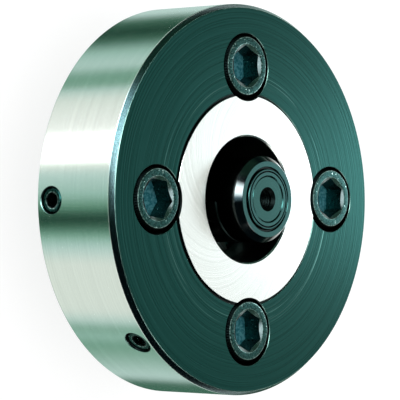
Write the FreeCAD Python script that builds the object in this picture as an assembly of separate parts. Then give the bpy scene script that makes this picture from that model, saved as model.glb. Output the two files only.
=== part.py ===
import FreeCAD, Part
import math
import os

# Flange that carries a hollow taper shank tool on a milling spindle nose.
# Z runs along the spindle axis, out of the front face towards the tool. The origin is on the axis in the
# face that seats on the spindle. Sizes are in millimetres, angles in degrees from +X towards +Y.

# Flange body
flange_diameter = 150.0
front_thickness = 25.0
collar_depth = 14.0
front_chamfer_width = 1.5
front_chamfer_height = 2.1
rear_chamfer = 1.0
seat_ring_diameter = 80.0
seat_ring_height = 0.5
seat_groove_width = 0.7
seat_groove_depth = 0.15
register_diameter = 128.57
register_clearance = 0.25
register_lead_in = 0.8
hub_diameter = 67.0
hub_length = 37.0
hub_taper = 7.0 / 24.0
hub_end_chamfer = 1.5
ejection_hole_diameter = 12.0

# Bore for a size 63 hollow taper shank
taper_gauge_diameter = 48.0
taper_gauge_depth = 6.3
taper_rate = 1.0 / 9.98
taper_depth = 21.0
mouth_chamfer = 0.5
shank_length = 32.0
shank_end_clearance = 0.7
relief_diameter = 47.2
cartridge_bore_depth = 14.8

# Keyways for the driving keys of the spindle
keyway_width = 25.8
keyway_depth = 13.0
keyway_inner_radius = 36.0
keyway_outer_radius = 63.0
keyway_angles = (135.0, 315.0)

# M16 cap screws on the spindle bolt circle
bolt_circle_diameter = 101.6
cap_thread_diameter = 16.0
cap_length = 35.0
cap_head_diameter = 24.0
cap_head_height = 16.0
cap_head_chamfer = 0.9
cap_socket_flats = 14.0
cap_socket_depth = 8.0
cap_socket_lead_in = 0.25
cap_tip_chamfer = 1.5
cap_neck_diameter = 14.7
cap_head_stand_out = 0.5
cap_head_gap = 1.0
cap_shank_clearance = 0.75
cap_side_play = 0.45
cap_screw_angles = (90.0, 0.0, 270.0, 180.0)
cap_socket_turns = (2.0, -3.0, 4.0, 22.0)

# M10 set screws in the rim
set_thread_diameter = 10.0
set_thread_clearance = 0.06
set_length = 10.0
set_socket_flats = 5.0
set_socket_depth = 5.0
set_socket_lead_in = 0.15
set_end_chamfer = 0.8
rim_countersink = 0.5
alignment_height = -6.2
alignment_angles = (180.0, 270.0, 0.0, 90.0)
alignment_socket_turns = (12.0, 40.0, 5.0, 25.0)
access_angle = 225.0
access_depth = 2.0
access_thread_depth = 15.0
access_socket_turn = 8.0
key_access_diameter = 7.5

# Clamping cartridge
cartridge_diameter = 32.9
cartridge_base_diameter = 39.9
cartridge_base_clearance = 0.05
cartridge_base_recess = 0.4
nose_projection = 9.7
nose_face_diameter = 28.9
nose_chamfer_height = 2.5
clamp_axis_depth = 8.8
slot_width = 22.2
slot_above_axis = 7.3
slot_below_axis = 12.7
slot_fillet = 1.0
ejector_web = 2.0
ejector_bore_diameter = 24.6
nose_bore_chamfer = 0.15

# Clamping screw, right-hand thread on one half and left-hand on the other
clamp_thread_diameter = 10.0
clamp_thread_clearance = 0.08
clamp_length = 29.8
clamp_socket_flats = 5.0
clamp_socket_depth = 6.0
clamp_end_chamfer = 0.8
clamp_groove_diameter = 7.0
clamp_groove_width = 3.5
locating_pin_diameter = 3.2
locating_pin_seat = 10.0
locating_pin_clearance = 0.05

# Clamping jaws
jaw_travel = 1.5
jaw_side_clearance = 0.1
jaw_diameter = 32.6
jaw_middle_gap = 0.8
jaw_hook_below_axis = 9.7
jaw_hook_depth = 1.1
jaw_hook_angle = 30.0
jaw_top_chamfer = 1.0
jaw_pin_clearance = 0.3

# Ejector
ejector_stroke = 0.8
ejector_end_clearance = 0.2
ejector_diameter = 22.9
ejector_collar_clearance = 0.1
ejector_stand_out = 0.4
ejector_groove_outer_diameter = 21.6
ejector_groove_inner_diameter = 20.7
ejector_groove_depth = 0.7
ejector_stem_diameter = 10.0
ejector_stem_clearance = 0.1
ejector_tip_width = 1.0
wedge_tip_above_axis = 5.5
wedge_clearance = 0.1
plug_diameter = 17.4
plug_length = 7.3
plug_recess = 0.3
plug_edge_chamfer = 0.4
plug_thread_core = 6.8
plug_countersink_diameter = 9.3
plug_bore_diameter = 6.0
plug_bore_depth = 3.0
ring_recess = 0.6
ring_thickness = 1.2
ring_groove_depth = 0.9
ring_groove_clearance = 0.1
ring_inner_clearance = 0.2
ring_gap_width = 2.6
ring_gap_angle = 315.0
seal_section = 1.6
seal_squeeze_clearance = 0.05
seal_groove_width = 2.0
seal_groove_above_base = 2.2

# Driving keys in the bore
drive_key_angles = (135.0, 315.0)
drive_key_width = 12.4
drive_key_height = 10.0
drive_key_inner_radius = 17.4
drive_key_length = 10.0
drive_key_chamfer = 0.8
drive_key_clearance = 0.05
key_screw_radius = 23.4
key_screw_diameter = 4.0
key_screw_length = 12.0
key_screw_head_diameter = 7.0
key_screw_head_height = 4.0
key_screw_socket_flats = 3.0
key_screw_socket_depth = 2.0
key_screw_recess = 0.4

# M5 cap screws that hold the cartridge from the back
cartridge_screw_circle = 27.0
cartridge_screw_angles = (0.0, 90.0, 180.0, 270.0)
cartridge_screw_diameter = 5.0
cartridge_screw_length = 16.0
cartridge_screw_head_diameter = 8.5
cartridge_screw_head_height = 5.0
cartridge_screw_socket_flats = 4.0
cartridge_screw_socket_depth = 2.5
cartridge_screw_recess = 1.0

# Slope of the conical mouth and the drilled bottom of every hexagon socket
socket_cone_angle = 30.0

# Clearances that small cap screws share
small_head_clearance = 0.5
small_shank_clearance = 0.25
small_head_chamfer = 0.4
small_tip_chamfer = 0.5
thread_clearance = 0.05
thread_end_gap = 1.5

# Heights that follow from the sizes above
seat_height = front_thickness + seat_ring_height
rear_height = -collar_depth
hub_end = -hub_length
relief_floor = seat_height - shank_length - shank_end_clearance
cartridge_floor = relief_floor - cartridge_bore_depth
clamp_height = seat_height - clamp_axis_depth
nose_height = seat_height + nose_projection
slot_roof = clamp_height + slot_above_axis
slot_floor = clamp_height - slot_below_axis
ejector_floor = slot_roof + ejector_web
ring_top = nose_height - ring_recess
ring_bottom = ring_top - ring_thickness
cap_seat_height = front_thickness + cap_head_stand_out - cap_head_height
cartridge_base_top = relief_floor - cartridge_base_recess

# A margin by which a cutting shape runs past the face that it opens
past = 1.0

AXIS = FreeCAD.Vector(0, 0, 1)
ORIGIN = FreeCAD.Vector(0, 0, 0)


def turned(profile):
    """Solid of revolution about Z from corners given as (radius, height)."""
    corners = [FreeCAD.Vector(radius, 0, height) for radius, height in profile]
    outline = Part.makePolygon(corners + corners[:1])
    solid = Part.makeSolid(Part.Face(outline).revolve(ORIGIN, AXIS, 360))
    if solid.Volume < 0:
        solid.reverse()
    return solid


def cylinder(diameter, bottom, top):
    """Upright cylinder on the Z axis between two heights."""
    return Part.makeCylinder(diameter / 2, top - bottom, FreeCAD.Vector(0, 0, bottom))


def block(x_low, x_high, y_low, y_high, z_low, z_high):
    """Box between two corners."""
    corner = FreeCAD.Vector(x_low, y_low, z_low)
    return Part.makeBox(x_high - x_low, y_high - y_low, z_high - z_low, corner)


def hexagon(across_flats, bottom, top):
    """Hexagonal prism on the Z axis with a corner towards +Y."""
    corner = FreeCAD.Vector(0, across_flats / math.sqrt(3), bottom)
    turn = FreeCAD.Rotation(AXIS, 60)
    corners = [corner]
    for _ in range(5):
        corners.append(turn.multVec(corners[-1]))
    outline = Part.makePolygon(corners + corners[:1])
    return Part.Face(outline).extrude(FreeCAD.Vector(0, 0, top - bottom))


def spun(shape, angle):
    """Copy of a shape turned about Z."""
    copy = shape.copy()
    copy.rotate(ORIGIN, AXIS, angle)
    return copy


def moved(shape, x, y, z):
    """Copy of a shape shifted in space."""
    copy = shape.copy()
    copy.translate(FreeCAD.Vector(x, y, z))
    return copy


def radial(shape, angle, height):
    """Copy of an upright shape laid down so that its +Z points away from the axis at an angle."""
    copy = shape.copy()
    copy.rotate(ORIGIN, FreeCAD.Vector(0, 1, 0), 90)
    copy.translate(FreeCAD.Vector(0, 0, height))
    return spun(copy, angle)


def hex_socket(across_flats, mouth, depth, lead_in):
    """Hexagonal socket that opens upwards, with a conical mouth and a drilled bottom."""
    flat_radius = across_flats / 2
    mouth_radius = across_flats / math.sqrt(3) + lead_in
    slope = math.tan(math.radians(socket_cone_angle))
    mouth_depth = (mouth_radius - flat_radius) * slope
    drilled = flat_radius * slope
    bottom = mouth - depth
    mouth_cone = turned([
        (0, mouth + past),
        (mouth_radius, mouth + past),
        (mouth_radius, mouth),
        (flat_radius, mouth - mouth_depth),
        (0, mouth - mouth_depth),
    ])
    drill_tip = Part.makeCone(0, flat_radius, drilled, FreeCAD.Vector(0, 0, bottom - drilled))
    return hexagon(across_flats, bottom, mouth + past).fuse([mouth_cone, drill_tip])


def cap_screw(thread, length, head, head_height, flats, socket_depth, head_chamfer, tip_chamfer, lead_in):
    """Socket head cap screw that points down, with the underside of its head at height zero."""
    body = turned([
        (0, -length),
        (thread / 2 - tip_chamfer, -length),
        (thread / 2, -length + tip_chamfer),
        (thread / 2, 0),
        (head / 2, 0),
        (head / 2, head_height - head_chamfer),
        (head / 2 - head_chamfer, head_height),
        (0, head_height),
    ])
    return body.cut(hex_socket(flats, head_height, socket_depth, lead_in))


def neck_relief():
    """Ring to cut from a cap screw, so that its thread begins level with the spindle face."""
    neck = cap_neck_diameter / 2
    outer = cap_thread_diameter / 2 + past
    neck_end = -cap_seat_height + cap_thread_diameter / 2 - neck
    return turned([
        (neck, 0),
        (outer, 0),
        (outer, neck_end - (outer - neck)),
        (neck, neck_end),
    ])


def set_screw():
    """M10 set screw that points down, with its socket end at height zero."""
    radius = set_thread_diameter / 2
    body = turned([
        (0, -set_length),
        (radius - set_end_chamfer, -set_length),
        (radius, -set_length + set_end_chamfer),
        (radius, -set_end_chamfer),
        (radius - set_end_chamfer, 0),
        (0, 0),
    ])
    return body.cut(hex_socket(set_socket_flats, 0, set_socket_depth, set_socket_lead_in))


def small_cap_screw(diameter, length, head_diameter, head_height, flats, socket_depth):
    """M4 or M5 cap screw that points down, with the underside of its head at height zero."""
    return cap_screw(
        diameter, length, head_diameter, head_height, flats, socket_depth,
        small_head_chamfer, small_tip_chamfer, set_socket_lead_in,
    )


def taper_radius(height):
    """Radius of the tapered bore at a height."""
    above_gauge = height - (seat_height - taper_gauge_depth)
    return (taper_gauge_diameter + above_gauge * taper_rate) / 2


def hub_radius(height):
    """Radius of the hub, which narrows like the mouth of the spindle."""
    return (hub_diameter + height * hub_taper) / 2


def receiver_bore():
    """Space for the tool shank and the cartridge, as a solid to cut away."""
    mouth = taper_radius(seat_height) + mouth_chamfer
    taper_end = seat_height - taper_depth
    relief = relief_diameter / 2
    relief_step = relief - taper_radius(taper_end)
    bore = cartridge_base_diameter / 2 + cartridge_base_clearance
    return turned([
        (0, seat_height + past),
        (mouth + past, seat_height + past),
        (mouth, seat_height),
        (taper_radius(seat_height - mouth_chamfer), seat_height - mouth_chamfer),
        (taper_radius(taper_end), taper_end),
        (relief, taper_end - relief_step),
        (relief, relief_floor),
        (bore, relief_floor),
        (bore, cartridge_floor),
        (0, cartridge_floor),
    ])


def flange_blank():
    """Turned outline of the flange, before its holes."""
    rim = flange_diameter / 2
    register = register_diameter / 2 + register_clearance
    seat = seat_ring_diameter / 2
    hub_end_radius = hub_radius(hub_end)
    return turned([
        (0, hub_end),
        (hub_end_radius - hub_end_chamfer, hub_end),
        (hub_radius(hub_end + hub_end_chamfer), hub_end + hub_end_chamfer),
        (hub_radius(0), 0),
        (register, 0),
        (register, rear_height + register_lead_in),
        (register + register_lead_in, rear_height),
        (rim - rear_chamfer, rear_height),
        (rim, rear_height + rear_chamfer),
        (rim, front_thickness - front_chamfer_height),
        (rim - front_chamfer_width, front_thickness),
        (seat + seat_groove_width, front_thickness),
        (seat + seat_groove_width, front_thickness - seat_groove_depth),
        (seat, front_thickness - seat_groove_depth),
        (seat, seat_height),
        (0, seat_height),
    ])


def cap_screw_hole():
    """Counterbored clearance hole for one cap screw, on the Z axis."""
    counterbore = cap_head_diameter + 2 * cap_head_gap
    clearance = cap_thread_diameter + 2 * cap_shank_clearance
    return turned([
        (0, -past),
        (clearance / 2, -past),
        (clearance / 2, cap_seat_height),
        (counterbore / 2, cap_seat_height),
        (counterbore / 2, seat_height + past),
        (0, seat_height + past),
    ])


def rim_hole(inner_end):
    """Threaded hole from the rim inwards, upright with its mouth at the rim radius."""
    rim = flange_diameter / 2
    thread = set_thread_diameter / 2 + set_thread_clearance
    return turned([
        (0, inner_end),
        (thread, inner_end),
        (thread, rim - rim_countersink),
        (thread + rim_countersink, rim),
        (thread + rim_countersink + past, rim + past),
        (0, rim + past),
    ])


def access_hole():
    """Key access from the rim to the clamping screw: a threaded mouth and a plain drilling."""
    thread_end = flange_diameter / 2 - access_thread_depth
    drilling = cylinder(key_access_diameter, relief_diameter / 4, thread_end + past)
    return rim_hole(thread_end).fuse(drilling)


def keyway():
    """Slot in the spindle face for one driving key of the spindle, towards +X."""
    half = keyway_width / 2
    return block(keyway_inner_radius, keyway_outer_radius, -half, half, -past, keyway_depth)


def drive_key_blank(clearance):
    """Driving key towards +X, or its pocket when it is given a clearance."""
    half = drive_key_width / 2 + clearance
    outer = drive_key_inner_radius + drive_key_length + clearance
    top = relief_floor + drive_key_height + clearance
    return block(drive_key_inner_radius, outer, -half, half, relief_floor, top)


def key_screw_seat():
    """Height of the shoulder in a driving key that its screw bears on."""
    return relief_floor + drive_key_height - key_screw_recess - key_screw_head_height


def thread_hole(diameter, bottom, top):
    """Threaded hole on the Z axis, modelled at the outside of its thread."""
    return cylinder(diameter + 2 * thread_clearance, bottom, top)


def cartridge_screw_shoulder():
    """Height of the underside of the cartridge screw heads."""
    return hub_end + cartridge_screw_recess + cartridge_screw_head_height


def cartridge_screw_hole():
    """Counterbored hole through the hub for one cartridge screw, on the Z axis."""
    head = cartridge_screw_head_diameter / 2 + small_head_clearance
    shank = cartridge_screw_diameter / 2 + small_shank_clearance
    shoulder = cartridge_screw_shoulder()
    return turned([
        (0, hub_end - past),
        (head, hub_end - past),
        (head, shoulder),
        (shank, shoulder),
        (shank, cartridge_floor + past),
        (0, cartridge_floor + past),
    ])


def flange_body():
    """The flange with every hole, slot and pocket."""
    cuts = [receiver_bore(), access_hole_at_angle()]
    cuts.append(cylinder(ejection_hole_diameter, hub_end - past, cartridge_floor + past))
    for angle in cap_screw_angles:
        cuts.append(spun(moved(cap_screw_hole(), bolt_circle_diameter / 2, 0, 0), angle))
    for angle in alignment_angles:
        cuts.append(radial(rim_hole(register_diameter / 2 - past), angle, alignment_height))
    for angle in keyway_angles:
        cuts.append(spun(keyway(), angle))
    for angle in drive_key_angles:
        cuts.append(spun(drive_key_blank(drive_key_clearance), angle))
        tip = key_screw_seat() - key_screw_length - thread_end_gap
        hole = thread_hole(key_screw_diameter, tip, relief_floor + past)
        cuts.append(spun(moved(hole, key_screw_radius, 0, 0), angle))
    for angle in cartridge_screw_angles:
        cuts.append(spun(moved(cartridge_screw_hole(), cartridge_screw_circle / 2, 0, 0), angle))
    return flange_blank().cut(cuts)


def access_hole_at_angle():
    """The key access in its place."""
    return radial(access_hole(), access_angle, clamp_height)


def cartridge_body():
    """Cartridge body: base, two cheeks beside the jaws, and the nose with the ejector bore."""
    outer = cartridge_diameter / 2
    groove = ejector_bore_diameter / 2 + ring_groove_depth
    blank = turned([
        (0, cartridge_floor),
        (cartridge_base_diameter / 2, cartridge_floor),
        (cartridge_base_diameter / 2, cartridge_base_top),
        (outer, cartridge_base_top),
        (outer, nose_height - nose_chamfer_height),
        (nose_face_diameter / 2, nose_height),
        (0, nose_height),
    ])
    chamber = turned([
        (0, ejector_floor),
        (ejector_bore_diameter / 2, ejector_floor),
        (ejector_bore_diameter / 2, ring_bottom),
        (groove, ring_bottom),
        (groove, ring_top),
        (ejector_bore_diameter / 2, ring_top),
        (ejector_bore_diameter / 2, nose_height - nose_bore_chamfer),
        (ejector_bore_diameter / 2 + nose_bore_chamfer, nose_height),
        (ejector_bore_diameter / 2 + nose_bore_chamfer, nose_height + past),
        (0, nose_height + past),
    ])
    half = slot_width / 2
    slot = block(-outer - past, outer + past, -half, half, slot_floor, slot_roof)
    long_edges = [
        edge for edge in slot.Edges
        if abs(edge.Vertexes[0].Point.x - edge.Vertexes[-1].Point.x) > outer
    ]
    slot = slot.makeFillet(slot_fillet, long_edges)
    stem_way = ejector_stem_diameter + 2 * ejector_stem_clearance
    stem_hole = cylinder(stem_way, slot_roof - past, ejector_floor + past)
    pin_hole = cylinder(locating_pin_diameter, slot_floor - locating_pin_seat, slot_floor + past)
    cuts = [chamber, spun(slot, access_angle), stem_hole, pin_hole]
    tip = cartridge_screw_shoulder() + cartridge_screw_length + thread_end_gap
    hole = thread_hole(cartridge_screw_diameter, cartridge_floor - past, tip)
    for angle in cartridge_screw_angles:
        cuts.append(spun(moved(hole, cartridge_screw_circle / 2, 0, 0), angle))
    return blank.cut(cuts)


def clamp_screw():
    """Clamping screw with a socket at each end and a groove round its middle."""
    half = clamp_length / 2
    radius = clamp_thread_diameter / 2
    groove = clamp_groove_diameter / 2
    body = turned([
        (0, -half),
        (radius - clamp_end_chamfer, -half),
        (radius, -half + clamp_end_chamfer),
        (radius, -clamp_groove_width / 2),
        (groove, -clamp_groove_width / 2),
        (groove, clamp_groove_width / 2),
        (radius, clamp_groove_width / 2),
        (radius, half - clamp_end_chamfer),
        (radius - clamp_end_chamfer, half),
        (0, half),
    ])
    socket = hex_socket(clamp_socket_flats, half, clamp_socket_depth, set_socket_lead_in)
    other = socket.copy()
    other.rotate(ORIGIN, FreeCAD.Vector(1, 0, 0), 180)
    return radial(body.cut([socket, other]), access_angle, clamp_height)


def locating_pin():
    """Pin that stands in the cartridge and keeps the groove of the clamping screw central."""
    top = clamp_height - clamp_groove_diameter / 2 - locating_pin_clearance
    return cylinder(locating_pin_diameter, slot_floor - locating_pin_seat, top)


def wedge_prism(shift, reach, top):
    """Prism under the sloping faces of the ejector wedge, lowered by shift and as wide as reach."""
    slope = ejector_stroke / jaw_travel
    tip = clamp_height + wedge_tip_above_axis - shift
    flat = ejector_tip_width / 2
    span = (top - tip) / slope + flat
    corners = [
        FreeCAD.Vector(-flat, -reach, tip),
        FreeCAD.Vector(flat, -reach, tip),
        FreeCAD.Vector(span, -reach, top),
        FreeCAD.Vector(-span, -reach, top),
    ]
    outline = Part.makePolygon(corners + corners[:1])
    return Part.Face(outline).extrude(FreeCAD.Vector(0, 2 * reach, 0))


def clamp_jaw(angle):
    """Jaw that slides outwards at an angle and hooks behind the lip of the hollow shank."""
    outer = jaw_diameter / 2
    hook = outer - jaw_hook_depth
    hook_height = clamp_height - jaw_hook_below_axis
    slope = jaw_hook_depth * math.tan(math.radians(jaw_hook_angle))
    bottom = slot_floor + jaw_side_clearance
    top = slot_roof - jaw_side_clearance
    half = slot_width / 2 - jaw_side_clearance
    round_form = turned([
        (0, bottom),
        (hook, bottom),
        (hook, hook_height - slope),
        (outer, hook_height),
        (outer, top - jaw_top_chamfer),
        (outer - jaw_top_chamfer, top),
        (0, top),
    ])
    body = block(jaw_middle_gap / 2, outer, -half, half, bottom, top)
    long_edges = [
        edge for edge in body.Edges
        if abs(edge.Vertexes[0].Point.x - edge.Vertexes[-1].Point.x) > jaw_middle_gap
    ]
    body = body.makeFillet(slot_fillet, long_edges).common(round_form)
    thread = cylinder(clamp_thread_diameter + 2 * clamp_thread_clearance, -outer - past, outer + past)
    pin_top = clamp_height - clamp_groove_diameter / 2
    pin_way = cylinder(locating_pin_diameter + 2 * jaw_pin_clearance, bottom - past, pin_top)
    wedge_way = wedge_prism(wedge_clearance, half + past, slot_roof + past)
    body = body.cut([radial(thread, 0, clamp_height), pin_way, wedge_way])
    return spun(body, angle)


def ejector():
    """Ejector: stepped disc, collar with a seal groove, and a stem that ends in a wedge."""
    front = nose_height + ejector_stand_out
    collar = ejector_bore_diameter / 2 - ejector_collar_clearance
    base = ejector_floor + ejector_stroke + ejector_end_clearance
    collar_top = ring_bottom - ejector_collar_clearance
    pocket_floor = front - plug_recess - plug_length
    seal_bottom = base + seal_groove_above_base
    seal_radius = ejector_bore_diameter / 2 - seal_squeeze_clearance - seal_section
    face = ejector_diameter / 2
    disc = turned([
        (0, base),
        (collar, base),
        (collar, seal_bottom),
        (seal_radius, seal_bottom),
        (seal_radius, seal_bottom + seal_groove_width),
        (collar, seal_bottom + seal_groove_width),
        (collar, collar_top),
        (face, collar_top),
        (face, front),
        (ejector_groove_outer_diameter / 2, front),
        (ejector_groove_outer_diameter / 2, front - ejector_groove_depth),
        (ejector_groove_inner_diameter / 2, front - ejector_groove_depth),
        (ejector_groove_inner_diameter / 2, front),
        (plug_diameter / 2 + plug_edge_chamfer, front),
        (plug_diameter / 2, front - plug_edge_chamfer),
        (plug_diameter / 2, pocket_floor),
        (0, pocket_floor),
    ])
    wedge = spun(wedge_prism(0, ejector_stem_diameter, base), access_angle)
    stem = cylinder(ejector_stem_diameter, clamp_height, base).common(wedge)
    relief = cylinder(plug_bore_diameter, pocket_floor - plug_bore_depth, pocket_floor + past)
    return disc.fuse(stem).removeSplitter().cut(relief)


def ejector_plug():
    """Plug in the middle of the ejector, with a countersunk thread for pulling the cartridge."""
    top = nose_height + ejector_stand_out - plug_recess
    bottom = top - plug_length
    sink = (plug_countersink_diameter - plug_thread_core) / 2
    return turned([
        (plug_thread_core / 2, bottom),
        (plug_diameter / 2, bottom),
        (plug_diameter / 2, top),
        (plug_countersink_diameter / 2, top),
        (plug_thread_core / 2, top - sink),
    ])


def ejector_seal():
    """Ring seal in the collar of the ejector."""
    base = ejector_floor + ejector_stroke + ejector_end_clearance
    middle = base + seal_groove_above_base + seal_groove_width / 2
    ring_radius = ejector_bore_diameter / 2 - seal_squeeze_clearance - seal_section / 2
    return Part.makeTorus(ring_radius, seal_section / 2, FreeCAD.Vector(0, 0, middle))


def retaining_ring():
    """Snap ring that keeps the ejector in, with its two ends a little apart."""
    outer = ejector_bore_diameter / 2 + ring_groove_depth - ring_groove_clearance
    inner = ejector_diameter / 2 + ring_inner_clearance
    ring = turned([(inner, ring_bottom), (outer, ring_bottom), (outer, ring_top), (inner, ring_top)])
    half = ring_gap_width / 2
    gap = block(0, outer + past, -half, half, ring_bottom - past, ring_top + past)
    return ring.cut(spun(gap, ring_gap_angle))


def drive_key(angle):
    """Driving key with chamfered top edges and a counterbored hole for its screw."""
    blank = drive_key_blank(0)
    top = relief_floor + drive_key_height
    top_edges = [
        edge for edge in blank.Edges
        if min(vertex.Point.z for vertex in edge.Vertexes) > top - drive_key_chamfer
    ]
    key = blank.makeChamfer(drive_key_chamfer, top_edges)
    head = key_screw_head_diameter / 2 + small_head_clearance / 2
    shank = key_screw_diameter / 2 + small_shank_clearance
    hole = turned([
        (0, relief_floor - past),
        (shank, relief_floor - past),
        (shank, key_screw_seat()),
        (head, key_screw_seat()),
        (head, top + past),
        (0, top + past),
    ])
    return spun(key.cut(moved(hole, key_screw_radius, 0, 0)), angle)


def save(shape, name):
    """Write one piece to its file."""
    shape.exportStep("parts/" + name + ".step")


os.makedirs("parts", exist_ok=True)

save(flange_body(), "flange_body")

for number, (angle, turn) in enumerate(zip(cap_screw_angles, cap_socket_turns), 1):
    screw = cap_screw(
        cap_thread_diameter, cap_length, cap_head_diameter, cap_head_height, cap_socket_flats,
        cap_socket_depth, cap_head_chamfer, cap_tip_chamfer, cap_socket_lead_in,
    ).cut(neck_relief())
    x = bolt_circle_diameter / 2 * math.cos(math.radians(angle))
    y = bolt_circle_diameter / 2 * math.sin(math.radians(angle)) + cap_side_play
    save(moved(spun(screw, turn), x, y, cap_seat_height), "cap_screw_%d" % number)

alignment_outer_end = register_diameter / 2 + register_clearance + set_length
for number, (angle, turn) in enumerate(zip(alignment_angles, alignment_socket_turns), 1):
    screw = moved(spun(set_screw(), turn), 0, 0, alignment_outer_end)
    save(radial(screw, angle, alignment_height), "alignment_screw_%d" % number)

access_outer_end = flange_diameter / 2 - access_depth
plug_screw = moved(spun(set_screw(), access_socket_turn), 0, 0, access_outer_end)
save(radial(plug_screw, access_angle, clamp_height), "access_plug")

save(cartridge_body(), "cartridge_body")
save(clamp_screw(), "clamp_screw")
save(locating_pin(), "locating_pin")
save(clamp_jaw(access_angle), "clamp_jaw_1")
save(clamp_jaw(access_angle + 180), "clamp_jaw_2")
save(ejector(), "ejector")
save(ejector_plug(), "ejector_plug")
save(ejector_seal(), "ejector_seal")
save(retaining_ring(), "retaining_ring")

for number, angle in enumerate(drive_key_angles, 1):
    save(drive_key(angle), "drive_key_%d" % number)
    screw = small_cap_screw(
        key_screw_diameter, key_screw_length, key_screw_head_diameter, key_screw_head_height,
        key_screw_socket_flats, key_screw_socket_depth,
    )
    save(spun(moved(screw, key_screw_radius, 0, key_screw_seat()), angle), "key_screw_%d" % number)

for number, angle in enumerate(cartridge_screw_angles, 1):
    screw = small_cap_screw(
        cartridge_screw_diameter, cartridge_screw_length, cartridge_screw_head_diameter,
        cartridge_screw_head_height, cartridge_screw_socket_flats, cartridge_screw_socket_depth,
    )
    screw.rotate(ORIGIN, FreeCAD.Vector(1, 0, 0), 180)
    screw = moved(screw, cartridge_screw_circle / 2, 0, cartridge_screw_shoulder())
    save(spun(screw, angle), "cartridge_screw_%d" % number)
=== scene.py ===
import bpy, bmesh, math
from mathutils import Matrix, Vector


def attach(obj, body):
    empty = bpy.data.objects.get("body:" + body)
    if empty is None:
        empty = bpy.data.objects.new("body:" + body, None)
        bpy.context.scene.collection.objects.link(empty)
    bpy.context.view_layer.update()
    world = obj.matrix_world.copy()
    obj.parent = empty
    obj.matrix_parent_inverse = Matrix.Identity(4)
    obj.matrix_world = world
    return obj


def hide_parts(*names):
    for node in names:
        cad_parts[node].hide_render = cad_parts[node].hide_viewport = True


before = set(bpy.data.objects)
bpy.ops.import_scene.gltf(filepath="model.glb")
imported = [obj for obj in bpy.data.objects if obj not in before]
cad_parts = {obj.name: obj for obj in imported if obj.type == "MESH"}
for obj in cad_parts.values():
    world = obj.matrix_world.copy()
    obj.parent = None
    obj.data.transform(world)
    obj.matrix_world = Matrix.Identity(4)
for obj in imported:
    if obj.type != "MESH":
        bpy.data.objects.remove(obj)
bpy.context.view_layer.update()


# Studio. The flange stands on the end of its hub, on a white sheet of paper on a table. The camera looks
# at its face from the 9 o'clock side, with 12 o'clock up in the picture. Screens stand all round it: pale
# ones with dark gaps between them, which the ground rim shows as bands along its width.

MM = 0.001
CAMERA_PLACE = Vector((-744.4, -4.6, 661.3)) * MM
CAMERA_BACK = Vector((-0.748, -0.0046, 0.6636))
CAMERA_UP = Vector((0.0005, 1.0, 0.0075))
CAMERA_LENS = 229.95


def linear(hex_colour):
    """sRGB hex colour as the linear colour that a shader takes."""
    channels = [int(hex_colour[k:k + 2], 16) / 255 for k in (1, 3, 5)]
    return [c / 12.92 if c <= 0.04045 else ((c + 0.055) / 1.055) ** 2.4 for c in channels] + [1.0]


def add_node(tree, kind, settings=None, inputs=None):
    """Adds a shader node, sets its properties, and sets or links its inputs."""
    node = tree.nodes.new(kind)
    for name, value in (settings or {}).items():
        setattr(node, name, value)
    for name, value in (inputs or {}).items():
        if isinstance(value, bpy.types.NodeSocket):
            tree.links.new(value, node.inputs[name])
        else:
            node.inputs[name].default_value = value
    return node


back = CAMERA_BACK.normalized()
right = CAMERA_UP.cross(back).normalized()
camera = bpy.data.objects.new("camera", bpy.data.cameras.new("camera"))
camera.data.lens = CAMERA_LENS
camera_axes = Matrix((right, back.cross(right), back)).transposed().to_4x4()
camera.matrix_world = Matrix.Translation(CAMERA_PLACE) @ camera_axes
bpy.context.scene.collection.objects.link(camera)
bpy.context.scene.camera = camera
bpy.context.scene.view_settings.view_transform = "Standard"

# Tones of the screens, and where each stands: azimuth in degrees round the axis, with the camera at 180.
TONES = {
    "white": (2.4, 2.5, 2.4, 1), "bright": (1.05, 1.07, 1.03, 1), "pale": (0.80, 0.87, 0.80, 1),
    "cool": (0.55, 0.74, 0.69, 1), "soft": (0.36, 0.58, 0.50, 1), "green": (0.17, 0.36, 0.26, 1),
    "deep": (0.050, 0.145, 0.095, 1), "dark": (0.008, 0.040, 0.024, 1), "black": (0.010, 0.022, 0.026, 1),
    "box": (12.0, 13.0, 13.0, 1), "dusk": (0.9, 1.5, 1.7, 1), "glare": (5.0, 6.4, 6.8, 1),
    "strip": (1.3, 1.4, 1.35, 1), "overhead": (2.3, 2.4, 2.4, 1),
}
LOW_SCREENS = (
    (30, "cool"), (44, "deep"), (60, "dark"), (70, "deep"), (80, "soft"), (92, "cool"), (99, "green"),
    (107, "green"), (111, "cool"), (117, "pale"), (138, "bright"), (144, "white"), (154, "white"),
    (159, "pale"), (164, "cool"), (176, "soft"), (182, "green"), (187, "deep"), (191, "dark"), (196, "deep"),
    (200, "green"), (204, "soft"), (209, "cool"), (218, "pale"), (250, "pale"), (257, "cool"), (263, "green"),
    (269, "soft"), (277, "green"), (310, "cool"), (322, "deep"),
)
HIGH_SCREENS = (
    (0, "bright"), (20, "bright"), (34, "deep"), (56, "black"), (72, "deep"), (104, "deep"), (118, "green"),
    (136, "glare"), (152, "glare"), (166, "cool"), (176, "green"), (190, "dark"), (198, "black"),
    (312, "black"), (326, "deep"), (340, "bright"),
)
TOP_SCREENS = (
    (0, "bright"), (24, "bright"), (38, "deep"), (104, "black"), (130, "black"), (146, "box"), (162, "box"),
    (174, "dusk"), (186, "black"), (250, "black"), (262, "white"), (284, "white"), (300, "deep"),
    (322, "deep"), (336, "bright"),
)
# The sine of the elevation of a pale strip all round, which the small light edge bands catch.
STRIP_SINE = -0.20


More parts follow.
